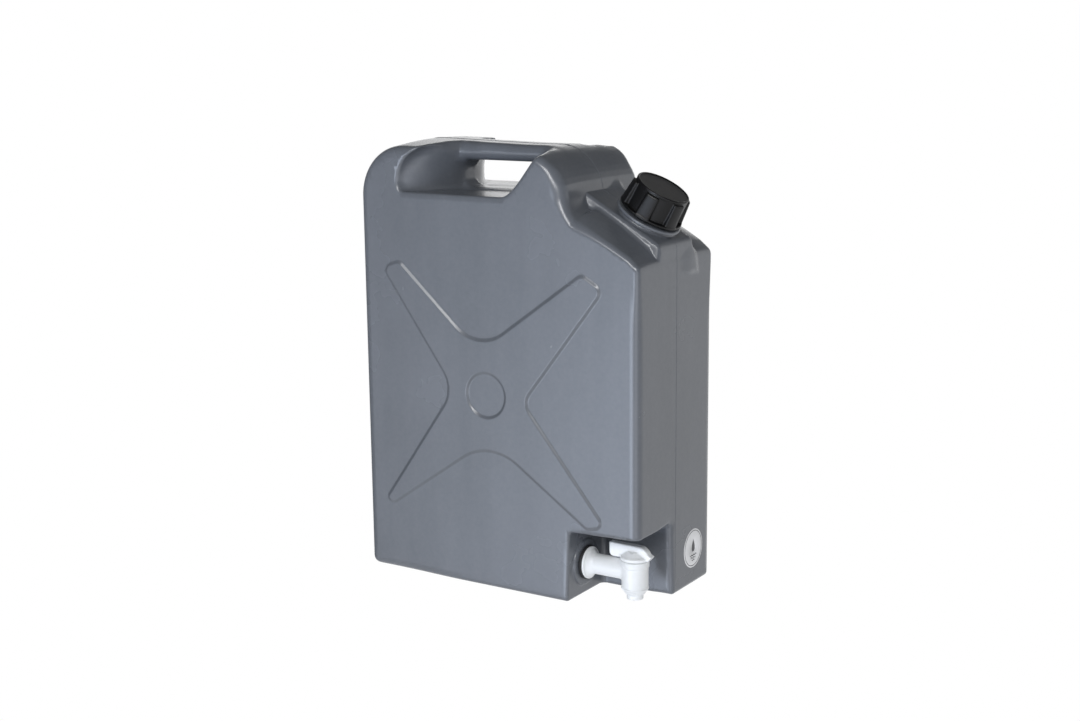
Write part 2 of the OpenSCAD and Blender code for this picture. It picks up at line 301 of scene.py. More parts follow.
# ----------------------------------------------------------------------------
# tank
# ----------------------------------------------------------------------------
def shoulder_line(x):
    """Height of the shoulder beside the platform."""
    s = HALF_X - x
    return SHOULDER_Z + s * 0.62 - 0.0016 * s * s


# side view of the can, (x, z), from the -x foot round by +x
SIDE_OUTLINE = (
    arc(-HALF_X + 9, 9, 9, 180, 270, 10) + arc(HALF_X - 4, 4, 4, 270, 360, 8)
    + arc(HALF_X - 10, SHOULDER_Z - 7.2, 10, 0, 58, 12)
    + [(x, shoulder_line(x)) for x in range(160, 97, -4)]
    + [(96, shoulder_line(96) + 1.2), (93.5, 405.2), (91.2, 409.2), (89.2, 414), (87.4, 419),
       (85.8, 424.5), (84.9, 430.5), (83.0, 437.3), (80.0, 443.0), (76.6, 448.2),
       (72.5, 453.2), (67.8, 457.9), (62.5, 462.0), (56.5, 465.4), (50.0, 468.0),
       (44.0, 469.6), (37.0, 470.0)]
    + arc(-HALF_X + 54, HEIGHT - 54, 54, 90, 180, 50))
SIDE = OutlineField(SIDE_OUTLINE, -185, 185, -14, 486)

# hand pocket seen from the side, (x, z), open at the top
POCKET_OUTLINE = (
    [(8 + 64 * u, 422.5 + 55 * rise(0, 1, u)) for u in np.linspace(0, 1, 30)]
    + [(90, 500), (-73, 500)] + arc(-73, 423, 52, 90, 168, 40)
    + arc(-112.9, 433.5, 11, 180, 270, 12))
POCKET = OutlineField(POCKET_OUTLINE, -150, 110, 400, 520)


def platform(x, ay, z):
    """Sloping block under the neck, wider further below its top plane."""
    top = (x - PLATFORM_X) * TILT_SIN + (z - PLATFORM_Z) * TILT_COS
    flank = ay - 36.0 + 0.26 * np.minimum(top, 0.0)
    f = meet(top, flank * 0.968, 3.2)
    f = meet(f, x - 172.2, 5.0)
    f = meet(f, 64.0 - x)
    return meet(f, (shoulder_line(np.minimum(x, HALF_X)) - 16.0 - z) * 0.86)


def can_block(x, y, z):
    """The can without its pocket and recess."""
    ay = np.abs(y)
    # the roof is arched across the can and falls towards +x
    arch_height = 2.4 + 2.8 * np.clip(-x / 120.0, 0.0, 1.0)
    arch = (1.0 - (y / HALF_Y) ** 2) * (arch_height * rise(415.0, 465.0, z))
    # the shoulder is crowned across the can beside the platform
    crown = (np.clip(12.4 - 0.165 * (x - 105.0), 2.0, 12.4) * rise(86.0, 102.0, x)
             * fall(418.0, 430.0, z) * rise(330.0, 350.0, z))
    crown = crown * (1.0 - (np.maximum(ay - 38.0, 0.0) / (HALF_Y - 38.0)) ** 2)
    side = SIDE(*np.broadcast_arrays(x, z - np.maximum(arch, 0.0) - np.maximum(crown, 0.0)))
    # edge radius: larger above the shoulder, smaller just below it and along the foot
    neck_side = rise(60.0, 78.0, x) * rise(405.0, 428.0, z) * fall(446.0, 466.0, z)
    edge = (9.0 + 5.0 * neck_side
            - 3.6 * rise(20.0, 60.0, x) * fall(385.0, 415.0, z) * rise(290.0, 360.0, z))
    edge = edge - 3.6 * fall(6.0, 16.0, z) * rise(-140.0, -40.0, x) * fall(85.0, 100.0, x)
    main = meet(side, ay - FACE_Y, edge)
    # the platform fillet grows mid-slope and on the +y side
    fillet = (0.4 + 3.0 * rise(84.0, 104.0, x) * fall(160.0, 170.0, x)
              + 7.0 * rise(5.0, 30.0, y))
    return join(main, platform(x, ay, z), fillet)


def ramp_wall(u, inner):
    """|y| of the pocket's ramp, from the face at u = 0 to inner at u = 1."""
    return HALF_Y - (HALF_Y - inner) * (0.55 * u + 0.45 * u ** 3)


def pocket_wall(x):
    """|y| of the pocket's back wall, and the factor that makes it a true distance."""
    run = (x - POCKET_X) / POCKET_RUN
    u = np.clip(run, 0, 1)
    wall = ramp_wall(u, POCKET_Y)
    slope = (HALF_Y - POCKET_Y) * (0.55 + 1.35 * u ** 2) / POCKET_RUN
    slope = slope * rise(0.0, 0.02, u) * fall(0.80, 1.15, run)
    # soften the corner with the flat back wall
    blend = 5.0
    near = np.maximum(blend - np.abs(wall - POCKET_Y), 0.0) / blend
    soft = np.maximum(wall, POCKET_Y) + near * near * blend * 0.25
    return np.where(x > POCKET_X, soft, wall), 1.0 / np.sqrt(1.0 + slope * slope)


def hand_hole(x, ay, z):
    """Hand pocket on both faces and the tunnel that joins them."""
    depth = np.clip((ay - 24.0) / 57.0, 0.0, 1.0)
    flare = 22.0 * (1.0 - depth) ** 1.6 * (rise(438.0, 466.0, z) * rise(-25.0, 20.0, x))
    outline = POCKET(x + flare, z)
    wall, factor = pocket_wall(x)
    # the bar is rounded under, so the pocket is deeper low down
    low_wall = ramp_wall(np.clip((x - POCKET_X) / 45.0, 0, 1), 16.0)
    wall = wall + (low_wall - wall) * fall(440.0, 466.0, z)
    pocket = meet(outline, (wall - ay) * factor, 6.0)
    corner = 12.0
    across = slab(x, -24.0, 58.0 - corner)
    upright = slab(z, 439.0, 15.0 - corner)
    tunnel = (np.minimum(np.maximum(across, upright), 0)
              + radial(np.maximum(across, 0), np.maximum(upright, 0)) - corner)
    tunnel = meet(tunnel, ay - 30.0, 4.0)
    return join(pocket, tunnel, 6.0)


def tap_recess(x, y, z):
    """Corner recess with drafted walls."""
    wall_x = 87.2 + 0.03 * z
    wall_y = -6.2 - 0.045 * z
    roof_z = 77.4 + 0.03 * (x - 94.0)
    return meet(meet(wall_x - x, y - wall_y, 5.5), z - roof_z, 4.5)


def can_body(x, y, z):
    ay = np.abs(y)
    f = can_block(x, y, z)
    # the pocket's edge is rounder at the top of the bar and at its -x end
    top = rise(448.0, 464.0, z)
    edge = (3.4 + 5.6 * top * fall(30.0, 52.0, ay)
            + 3.0 * top * rise(-112.0, -92.0, x) * fall(-66.0, -44.0, x) * fall(40.0, 66.0, ay))
    f = cut(f, hand_hole(x, ay, z), edge)
    edge = 2.9 + 2.6 * rise(140.0, 165.0, x) * rise(-40.0, -15.0, y)
    return cut(f, tap_recess(x, y, z), edge)


def neck_frame(x, y, z):
    cos, sin = NECK_ROT[0, 0], NECK_ROT[0, 2]
    dx, dz = x - NECK_X, z - NECK_Z
    return dx * cos - dz * sin, y, dx * sin + dz * cos


def tank_field(x, y, z):
    body = can_body(x, y, z)
    tap_reach = radial(y - TAP_Y, z - TAP_Z)
    boss = meet(meet(tap_reach - 25.0, x - BOSS_X, 1.5), 78.0 - x)
    f = join(body, boss, 1.3)
    lx, ly, lz = neck_frame(x, y, z)
    reach = radial(lx, ly)
    f = join(f, cylinder(reach, 31.0, lz, -4.5, 9.5, 0.8), 3.0)
    # the hollow under the neck
    f = cut(f, meet(body + WALL + 0.3, meet(62.0 - x, 300.0 - z)))
    f = cut(f, cylinder(reach, 18.8, lz, 0.0, 45.0), 0.9)
    return cut(f, meet(tap_reach - 13.2, 66.0 - x), 0.6)


# ----------------------------------------------------------------------------
# neck and cap, in the neck frame
# ----------------------------------------------------------------------------
def thread(angle, z, start_angle=0.0):
    """Height 0..1 of the helical ridge at an angle and height."""
    out = 0.0
    part_turn = np.mod(angle - start_angle, 2 * np.pi) / (2 * np.pi)
    for k in range(math.ceil(THREAD_TURNS)):
        t = part_turn + k
        centre = THREAD_Z + THREAD_PITCH * t
        ends = np.clip(np.minimum(t * 6, (THREAD_TURNS - t) * 6), 0, 1)
        ridge = np.clip((THREAD_HALF - np.abs(z - centre)) / THREAD_FLANK, 0, 1)
        out = np.maximum(out, ends * ridge)
    return out


def neck_field(x, y, z):
    """Base, flange, smooth land, grooved base and threaded core."""
    reach = radial(x, y)
    f = stack(reach, z, [(30.9, 1.0, 4.0, 0.6, None),
                         (35.5, 5.7, 1.7, 1.3, 0.8),
                         (23.9, 11.0, 5.0, 0.6, 0.7)])
    f = cut(f, meet(slab(z, 3.7, 0.55), 29.2 - reach))
    ridge = thread(np.arctan2(y, x), z)
    core = meet((reach - 22.2 - 1.3 * ridge) * 0.75, slab(z, 21.0, 12.0), 0.8)
    f = join(f, core, 0.5)
    return cut(f, reach - 18.5, 0.9)


def cap_field(x, y, z):
    """Screw cap in its closed position, with six grip lugs and a dished top."""
    h = z - 10.0
    reach = radial(x, y)
    angle = np.arctan2(y, x)
    f = stack(reach, h, [(34.4, 1.25, 1.25, 0.9, None),                       # skirt
                         (29.5 - 0.029 * (h - 2.0), 15.1, 15.0, 1.2, 1.0),    # tapered wall
                         (29.15, 28.6, 1.55, 1.0, 0.6)])                      # rim
    # lugs repeat every 60 degrees from 42
    turn = np.mod(angle - math.radians(42) + math.pi / 6, math.pi / 3) - math.pi / 6
    across, outward = reach * np.sin(turn), reach * np.cos(turn)
    lug = meet(np.abs(across) - (7.9 - 0.04 * h), (reach - (34.3 - 0.092 * h)) * 0.996, 1.5)
    lug = meet(lug, slab(h, 13.4, 13.4), 1.2)
    lug = meet(lug, 20.0 - outward)
    f = join(f, lug, 1.1)
    f = cut(f, cylinder(reach, 27.4, h, 31.2, 1.6, 0.5), 0.7)
    ridge = thread(angle, z, start_angle=math.pi)
    bore = meet((reach - (24.3 - 1.5 * ridge)) * 0.75, slab(h, 13.0, 13.9))
    return cut(f, bore, 0.5)


# ----------------------------------------------------------------------------
# tap
# ----------------------------------------------------------------------------
def tap_field(x, y, z):
    """Tap housing: tube along x into an upright barrel with a nozzle below."""
    tube_reach = radial(y - TAP_Y, z - TAP_Z)
    reach = radial(x - TAP_X, y - TAP_Y)
    tail = stack(tube_reach, x, [(12.9, 85.0, 9.4, 0.8, None),
                                 (17.2, 95.35, 1.3, 0.8, 0.5)])
    flare = cone(tube_reach, x, radius=15.6, at=96.5, slope=-0.92, scale=0.74,
                 middle=99.0, half=2.6)
    tube = cylinder(tube_reach, 11.0, x, 122.0, 26.0)
    f = join(tail, join(flare, tube, 2.0), 0.8)
    barrel = stack(reach, z, [(14.2, 32.25, 15.3, 0.8, None),
                              (15.0, 44.5, 3.4, 0.7, 0.9)])
    taper = cone(reach, z, radius=10.5, at=12.0, slope=0.62, scale=0.85, middle=15.0, half=3.0)
    barrel = join(barrel, taper, 1.5)
    barrel = join(barrel, cylinder(reach, 8.8, z, 10.0, 4.0, 0.6), 1.2)
    f = join(f, barrel, 2.2)
    # bores: along the tube, up the nozzle, then the two steps that take the lever plug
    f = cut(f, cylinder(tube_reach, 6.5, x, 105.0, 44.0), 0.4)
    f = cut(f, cylinder(reach, 6.4, z, 12.0, 16.0))
    f = cut(f, cylinder(reach, 9.7, z, 21.0, 5.2, 0.5))
    return cut(f, meet(reach - 10.75, 22.8 - z), 0.5)


# lever blade from the side: (x from the tap axis, z)
BLADE_OUTLINE = ([(-29, 64.5), (-29, 54)] + arc(-24, 54, 5, 180, 270, 10)
                 + [(-20, 49), (-15, 49.5), (15, 49.5), (16.6, 48.9), (21, 54)]
                 + arc(4, 50, 14.5, 26, 72, 10))
BLADE = OutlineField([(x + TAP_X, z) for x, z in BLADE_OUTLINE],
                     TAP_X - 36, TAP_X + 28, 40, 72, cell=0.5)


def lever_field(x, y, z):
    """Hollow plug with a disc head and a blade."""
    reach = radial(x - TAP_X, y - TAP_Y)
    plug = stack(reach, z, [(10.4, 37.5, 13.5, 0.5, None),
                            (9.3, 21.2, 4.2, 0.4, 0.3)])
    disc = cylinder(reach, 15.2, z, 50.4, 1.9, 0.9)
    shoulder = cone(reach, z, radius=14.6, at=52.0, slope=-1.2, scale=0.64,
                    middle=54.5, half=3.0)
    head = join(disc, shoulder, 1.4)
    head = join(head, meet(BLADE(x, z), slab(y, TAP_Y, 4.5), 1.5), 1.6)
    f = join(plug, head, 0.4)
    f = cut(f, cylinder(reach, 5.8, z, 26.0, 16.0), 0.4)
    # side port, open to +y
    f = cut(f, meet(radial(x - TAP_X, z - TAP_Z) - 5.8, TAP_Y - y), 0.4)
    for _, groove_z, floor, _ in SEALS:
        f = cut(f, meet(slab(z, groove_z, 1.05), floor - reach))
    return f


tank = piece("tank_shell", tank_field, low=(-175, -84.5, -2.5), high=(175.5, 84.5, 473),
             cells=(2.0, 1.1), adapt=0.06, flat_foot=True)
neck = piece("tank_neck", neck_field, low=(-37.5, -37.5, -4), high=(37.5, 37.5, 35),
             cells=(0.9, 0.6), adapt=0.1, pose=NECK_POSE)
cap = piece("screw_cap", cap_field, low=(-36.5, -36.5, 8), high=(36.5, 36.5, 42),
            cells=(0.8, 0.5), adapt=0.06, pose=NECK_POSE)
housing = piece("tap_housing", tap_field, low=(74, -65.5, 4), high=(166.5, -26.5, 56),
                cells=(0.7, 0.42), adapt=0.08)
lever = piece("tap_lever", lever_field, low=(117, -64, 15), high=(174, -28, 67),
              cells=(0.7, 0.42), adapt=0.08)

# ----------------------------------------------------------------------------
# seals and label
# ----------------------------------------------------------------------------
TO_X = np.array([[0, 0, 1.0], [0, 1, 0], [-1, 0, 0]])     # local z -> +x
gasket = lathe("seal_cap", round_rect(17.5, 23.6, 33.15, 36.85, 0.6), 128, *NECK_POSE)
washer = lathe("seal_tap", round_rect(13.3, 18.2, 0.0, 3.0, 0.7), 128,
               TO_X, (BOSS_X + 0.05, TAP_Y, TAP_Z))
ring_upper, ring_lower = (
    lathe(name, arc(radius, z, SEAL_WIRE, 0, 350, 35), 96, place=(TAP_X, TAP_Y, 0))
    for name, z, _, radius in SEALS)

# label profiles, (r, height over the +x end)
LABEL_DISC = [(0.001, 0.0), (LABEL_R, 0.0), (LABEL_R, 0.16), (LABEL_R - 0.1, 0.24),
              (0.001, 0.24)]
LABEL_RING = [(19.0, 0.2), (19.75, 0.2), (19.75, 0.31), (19.0, 0.31)]
label, label_ring = (
    lathe(name, profile, 128, TO_X, (LABEL_X, LABEL_Y, LABEL_Z))
    for name, profile in (("label_disc", LABEL_DISC), ("label_ring", LABEL_RING)))


def print_verts(outline):
    """Top, then base, of a raised print from its (y, z) outline about the label centre."""
    return [(HALF_X + h, LABEL_Y + y, LABEL_Z + z)
            for h in (PRINT_TOP, PRINT_BASE) for y, z in outline]


def label_drop():
    n = 64
    outline = []
    for i in range(n):
        t = 2 * math.pi * i / n
        outline.append((4.7 * math.sin(t) * math.sin(t / 2) ** 1.4, 3.3 + 7.2 * math.cos(t)))
    centre = tuple(sum(c) / n for c in zip(*outline))
    faces = []
    for i in range(n):
        j = (i + 1) % n
        faces += [(i, j, 2 * n), (n + j, n + i, 2 * n + 1), (i, n + i, n + j, j)]
    verts = np.array(print_verts(outline) + print_verts([centre]))
    return new_object("label_drop", verts, faces, smooth=False)


def label_wave(name, width, z):
    """Wavy bar; z is the place of its middle line."""
    n, half = 24, 0.55
    line = []
    for i in range(n):
        u = -1 + 2 * i / (n - 1)
        line.append((width / 2 * u, z + half * math.sin(math.pi * 1.5 * u * width / 7) + half))
    outline = line + [(y, top - 2 * half) for y, top in reversed(line)]
    m = len(outline)
    faces = []
    for i in range(n - 1):
        j0, j1 = m - 1 - i, m - 2 - i
        faces += [(i, j0, j1, i + 1), (m + i, m + i + 1, m + j1, m + j0)]
    for i in range(m):
        j = (i + 1) % m
        faces.append((i, j, m + j, m + i))
    return new_object(name, np.array(print_verts(outline)), faces, smooth=False)


WAVES = ((15.0, -7.8), (10.5, -10.6), (6.0, -13.4))       # width, z
prints = [label_ring, label_drop()]
prints += [label_wave("label_wave_%d" % k, *wave) for k, wave in enumerate(WAVES, 1)]


# ----------------------------------------------------------------------------
# raised cross on each broad face
# ----------------------------------------------------------------------------
def rounded_loop(corners, step=2.5, n_arc=20):
    """Closed polyline through rounded corners, and its outward normals."""
    points = []
    m = len(corners)
    for i in range(m):
        corner = np.array(corners[i][:2], float)
        u = np.array(corners[i - 1][:2], float) - corner
        v = np.array(corners[(i + 1) % m][:2], float) - corner
        u /= np.linalg.norm(u)
        v /= np.linalg.norm(v)
        r = corners[i][2]
        half = math.acos(np.dot(u, v)) / 2
        centre = corner + (u + v) / np.linalg.norm(u + v) * r / math.sin(half)
        tangent = r / math.tan(half)
        s0, s1 = corner + u * tangent - centre, corner + v * tangent - centre
        start = math.atan2(s0[1], s0[0])
        sweep = math.atan2(s0[0] * s1[1] - s0[1] * s1[0], float(np.dot(s0, s1)))
        for k in range(n_arc + 1):
            q = start + sweep * k / n_arc
            points.append(centre + r * np.array([math.cos(q), math.sin(q)]))
    dense = []
    for i, p in enumerate(points):
        q = points[(i + 1) % len(points)]
        k = max(1, int(np.linalg.norm(q - p) / step))
        for j in range(k):
            dense.append(p + (q - p) * j / k)
    loop = np.array(dense)
    loop = loop[np.linalg.norm(loop - np.roll(loop, 1, 0), axis=1) > 0.05]
    following = np.roll(loop, -1, 0)
    t = following - np.roll(loop, 1, 0)
    normals = np.stack([t[:, 1], -t[:, 0]], 1)
    normals /= np.linalg.norm(normals, axis=1)[:, None]
    area = 0.5 * np.sum(loop[:, 0] * following[:, 1] - following[:, 0] * loop[:, 1])
    return loop, -normals if area < 0 else normals


def cross_rows():
    """Section of the cross edge: offset outward from the outline, height, outward lean."""
    reach, lift = 2.3, CROSS_LIFT
    rows = [(3.1, -0.5, 0.0), (2.6, -0.06, 0.0), (reach, lift, 0.0)]
    for d in np.linspace(2.0, -2.2, 9):
        t = (reach - d) / (2 * reach)
        rows.append((d, lift + CROSS_H * rise(0, 1, t), CROSS_H * 6 * t * (1 - t) / (2 * reach)))
    return rows + [(-2.6, lift + CROSS_H, 0.0)]


def dimple_rows():
    """Section of the dimple edge: radius, height, outward lean."""
    rows = [(DIMPLE_R + 2.2, CROSS_H + CROSS_LIFT, 0.0)]
    for t in np.linspace(0.1, 1.0, 9):
        rows.append((DIMPLE_R + 2.0 - 4.0 * t, CROSS_LIFT + CROSS_H * (1 - rise(0, 1, t)),
                     -CROSS_H * 6 * t * (1 - t) / 4.0))
    return rows + [(DIMPLE_R - 2.4, -0.06, 0.0), (DIMPLE_R - 2.9, -0.5, 0.0)]


def cross_panel(name, side):
    """Strips along the outline and the dimple, and a triangulated flat between them.
    side is -1 for the front face, 1 for the back."""
    verts, normals, faces = [], [], []

    def add(point, height, lean):
        normal = np.array([lean[0], side, lean[1]])
        verts.append((point[0], side * (FACE_Y + height), point[1]))
        normals.append(normal / np.linalg.norm(normal))

    def strip(base, away, rows):
        """Rings of points at base + distance * away; returns the first vertex."""
        first, n = len(verts), len(base)
        for distance, height, lean in rows:
            for p, a in zip(base, away):
                add(p + a * distance, height, a * lean)
        for k in range(first, first + (len(rows) - 1) * n, n):
            for i in range(n):
                j = (i + 1) % n
                faces.append((k + i, k + j, k + n + j, k + n + i))
        return first

    outline, outward = rounded_loop(CROSS)
    m, nd = len(outline), 120
    strip(outline, outward, cross_rows())
    inner = len(verts) - m
    angles = [2 * math.pi * i / nd for i in range(nd)]
    spokes = [np.array([math.cos(a), math.sin(a)]) for a in angles]
    ring = strip([np.array([DIMPLE_X, DIMPLE_Z])] * nd, spokes, dimple_rows())

    # the flat: both rims and a grid of points between them
    rims = [v[::2] for v in verts[inner:inner + m] + verts[ring:ring + nd]]
    gx, gz = np.meshgrid(np.arange(-150, 140, 7.0), np.arange(75, 352, 7.0), indexing="ij")
    ok = ((polygon_distance(gx, gz, rims[:m]) < -3.0)
          & (np.hypot(gx - DIMPLE_X, gz - DIMPLE_Z) > DIMPLE_R + 5.0))
    points = [Vector(p) for p in rims + list(zip(gx[ok].tolist(), gz[ok].tolist()))]
    edges = [(i, (i + 1) % m) for i in range(m)]
    edges += [(m + i, m + (i + 1) % nd) for i in range(nd)]
    flat, _, cells, origins, _, _ = mathutils.geometry.delaunay_2d_cdt(
        points, edges, [], 0, 1e-5)
    index = []
    for point, sources in zip(flat, origins):
        i = sources[0] if sources else m + nd
        if i < m:
            index.append(inner + i)
        elif i < m + nd:
            index.append(ring + i - m)
        else:
            index.append(len(verts))
            add(point, CROSS_H + CROSS_LIFT, (0.0, 0.0))
    middle = np.array([np.mean([flat[i][:] for i in cell], axis=0) for cell in cells])
    keep = ((polygon_distance(middle[:, 0], middle[:, 1], rims[:m]) < 0)
            & (np.hypot(middle[:, 0] - DIMPLE_X, middle[:, 1] - DIMPLE_Z) > DIMPLE_R + 2.1))
    faces += [tuple(index[i] for i in cell) for cell, kept in zip(cells, keep) if kept]

    verts, normals = np.array(verts), np.array(normals)
    # wind every face to agree with its normals
    wound = []
    for face in faces:
        a, b, c = (verts[i] for i in face[:3])
        if np.dot(np.cross(b - a, c - a), sum(normals[i] for i in face[:3])) < 0:
            face = face[::-1]
        wound.append(face)
    return new_object(name, verts, wound, normals)


cross_front = cross_panel("tank_cross_front", -1)
cross_back = cross_panel("tank_cross_back", 1)


# ----------------------------------------------------------------------------
# parting line: a thin raised seam where the two mould halves met (y = 0)
# ----------------------------------------------------------------------------
# section of the seam: y, height over the surface
SEAM_SECTION = [(-0.95, -0.25), (-0.7, 0.05), (-0.3, 0.30), (0.3, 0.30), (0.7, 0.05),
                (0.95, -0.25)]
SEAM_SUNK = -0.25
SEAM_STEP = 1.5


def seam_value(p):
    return float(tank_field(np.array([p[0]]), np.array([0.0]), np.array([p[1]]))[0])


def seam_gradient(p):
    e = 0.1
    return np.array([seam_value((p[0] + e, p[1])) - seam_value((p[0] - e, p[1])),
                     seam_value((p[0], p[1] + e)) - seam_value((p[0], p[1] - e))]) / (2 * e)


def settle(p):
    """Move an (x, z) point onto the tank surface."""
    for _ in range(4):
        g = seam_gradient(p)
        p = p - seam_value(p) * g / max((g * g).sum(), 0.2)
    return p


def seam_run(start_x):
    """Follow the surface up from the foot of one end until it meets the neck."""
    p = settle(np.array([start_x, 12.0]))
    run = [p]
    heading = np.array([0.0, 1.0])
    for _ in range(900):
        g = seam_gradient(p)
        g /= max(np.linalg.norm(g), 1e-6)
        tangent = np.array([-g[1], g[0]])
        if (tangent * heading).sum() < 0:
            tangent = -tangent
        q = settle(p + SEAM_STEP * tangent)
        heading = q - p
        p = q
        lx, _, lz = neck_frame(p[0], 0.0, p[1])
        if abs(lx) < 35.2 and lz > -3:
            break
        run.append(p)
    return run


def seam():
    verts, faces = [], []
    k = len(SEAM_SECTION)
    for run in [seam_run(HALF_X), seam_run(-HALF_X)]:
        m = len(run)
        base = len(verts)
        for i, p in enumerate(run):
            g = seam_gradient(p)
            g /= np.linalg.norm(g)
            full = min(1.0, i / 4, (m - 1 - i) / 4)       # sinks away at both ends
            for y, h in SEAM_SECTION:
                height = SEAM_SUNK + (h - SEAM_SUNK) * full
                verts.append((min(p[0] + g[0] * height, HALF_X + 0.3), y,
                              p[1] + g[1] * height))
        for row in range(base, base + (m - 1) * k, k):
            for j in range(k):
                j2 = (j + 1) % k
                faces.append((row + j, row + j2, row + k + j2, row + k + j))
        faces.append(tuple(base + j for j in range(k))[::-1])
        faces.append(tuple(base + (m - 1) * k + j for j in range(k)))
    return new_object("tank_seam", np.array(verts), faces)


seam_line = seam()


# ----------------------------------------------------------------------------
# materials
# ----------------------------------------------------------------------------
def add_node(tree, kind, inputs, **settings):
    """New node; each input is a value or the socket linked to it."""
    node = tree.nodes.new(kind)
    for key, value in settings.items():
        setattr(node, key, value)
    for key, value in inputs.items():
        if isinstance(value, bpy.types.NodeSocket):
            tree.links.new(value, node.inputs[key])
        else:
            node.inputs[key].default_value = value
    return node


def srgb(colour):
    def linear(u):
        u /= 255.0
        return u / 12.92 if u <= 0.04045 else ((u + 0.055) / 1.055) ** 2.4
    return (*map(linear, colour), 1.0)


def plastic(name, dark, light, rough, mottle, fleck, bump, bump_scale, fleck_amount=0.25,
            streak=None, subsurface=0.0, specular=0.5):
    """Plastic mottled between two sRGB colours, with a fine grain. mottle, fleck and
    bump_scale are noise scales, bump is the grain depth in metres, streak stretches a
    third noise."""
    material = bpy.data.materials.new(name)
    material.use_nodes = True
    tree = material.node_tree
    tree.nodes.clear()
    place = add_node(tree, "ShaderNodeTexCoord", {}).outputs["Object"]

    def noise(scale, detail, vector=place, **more):
        inputs = {"Scale": scale, "Detail": detail, "Vector": vector, **more}
        return add_node(tree, "ShaderNodeTexNoise", inputs).outputs["Fac"]

    def mix(factor, a, b):
        return add_node(tree, "ShaderNodeMix", {"Factor": factor, "A": a, "B": b},
                        data_type="FLOAT").outputs["Result"]

    broad = noise(mottle, 4.0, Roughness=0.55)
    pattern = mix(fleck_amount, broad, noise(fleck, 3.0))
    if streak is not None:
        stretched = add_node(tree, "ShaderNodeMapping", {"Scale": streak, "Vector": place})
        pattern = mix(0.3, pattern, noise(1.0, 2.0, stretched.outputs["Vector"]))
    ramp = add_node(tree, "ShaderNodeValToRGB", {"Fac": pattern})
    stops = ramp.color_ramp.elements
    for stop, position, colour in zip(stops, (0.15, 0.85), (dark, light)):
        stop.position = position
        stop.color = srgb(colour)
    roughness = add_node(tree, "ShaderNodeMapRange", {
        "From Min": 0.1, "From Max": 0.9, "To Min": rough[0], "To Max": rough[1],
        "Value": broad})
    grain = add_node(tree, "ShaderNodeBump", {
        "Strength": 0.35, "Distance": bump, "Height": noise(bump_scale, 2.0)})
    surface = {"Base Color": ramp.outputs["Color"], "Roughness": roughness.outputs["Result"],
               "Normal": grain.outputs["Normal"], "IOR": 1.5, "Specular IOR Level": specular}
    if subsurface:
        surface.update({"Subsurface Weight": subsurface, "Subsurface Scale": 0.004,
                        "Subsurface Radius": (0.6, 0.6, 0.6)})
    shader = add_node(tree, "ShaderNodeBsdfPrincipled", surface)
    add_node(tree, "ShaderNodeOutputMaterial", {"Surface": shader.outputs["BSDF"]})
    return material


can_plastic = plastic(
    "can_plastic", dark=(84, 88, 94), light=(106, 110, 117), rough=(0.21, 0.31), mottle=9.0,
    fleck=240.0, fleck_amount=0.35, bump=0.00010, bump_scale=420.0,
    streak=(40.0, 40.0, 6.0), specular=0.68)
cap_plastic = plastic(
    "cap_plastic", dark=(9, 9, 10), light=(17, 17, 18), rough=(0.30, 0.42), mottle=60.0,
    fleck=700.0, bump=0.00006, bump_scale=1500.0, specular=0.34)
rubber = plastic(
    "seal_rubber", dark=(24, 24, 25), light=(40, 40, 42), rough=(0.55, 0.7), mottle=80.0,
    fleck=900.0, bump=0.00005, bump_scale=1600.0)
tap_plastic = plastic(
    "tap_plastic", dark=(226, 229, 231), light=(238, 240, 241), rough=(0.28, 0.38),
    mottle=60.0, fleck=500.0, bump=0.00003, bump_scale=900.0, subsurface=0.35)
key_plastic = plastic(
    "key_plastic", dark=(231, 234, 236), light=(243, 245, 246), rough=(0.25, 0.35),
    mottle=70.0, fleck=600.0, bump=0.00003, bump_scale=1000.0, subsurface=0.25)
label_film = plastic(
    "label_film", dark=(232, 233, 235), light=(242, 243, 244), rough=(0.35, 0.45),
    mottle=120.0, fleck=900.0, bump=0.00001, bump_scale=1500.0)
label_ink = plastic(
    "label_ink", dark=(58, 60, 64), light=(78, 80, 84), rough=(0.4, 0.5), mottle=200.0,
    fleck=900.0, bump=0.00001, bump_scale=1500.0)

# object, body it rides on, CAD node it replaces, slot, material
PARTS = [(ob, "can", "tank", "can_plastic", can_plastic)
         for ob in (tank, neck, cross_front, cross_back, seam_line)]
PARTS += [
    (cap, "cap", "filler_cap", "cap_plastic", cap_plastic),
    (gasket, "cap_lifter", "cap_gasket", "seal_rubber", rubber),
    (washer, "can", "tap_washer", "seal_rubber", rubber),
    (housing, "can", "tap_body", "tap_plastic", tap_plastic),
    (lever, "key", "tap_key", "key_plastic", key_plastic),
    (ring_upper, "key", "key_ring_upper", "seal_rubber", rubber),
    (ring_lower, "key", "key_ring_lower", "seal_rubber", rubber),
    (label, "can", "capacity_label", "label_film", label_film),
]
PARTS += [(ob, "can", "capacity_label", "label_film", label_ink) for ob in prints]

node_material = {}
for ob, body, node, slot, material in PARTS:
    ob.data.materials.append(material)
    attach(ob, body)
    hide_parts(node)
    node_material.setdefault(node, material)
for node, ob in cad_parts.items():
    slots = ob.data.materials
    if not len(slots):
        slots.append(node_material[node])
    for s in range(len(slots)):
        slots[s] = node_material[node]

# ----------------------------------------------------------------------------
# world: white to the camera, a painted studio to everything else
# ----------------------------------------------------------------------------
TABLE_LEVEL, BACKDROP_LEVEL, ROOM_LEVEL = 0.74, 0.92, 0.10
ROOM_TINT = (0.985, 0.99, 1.0)
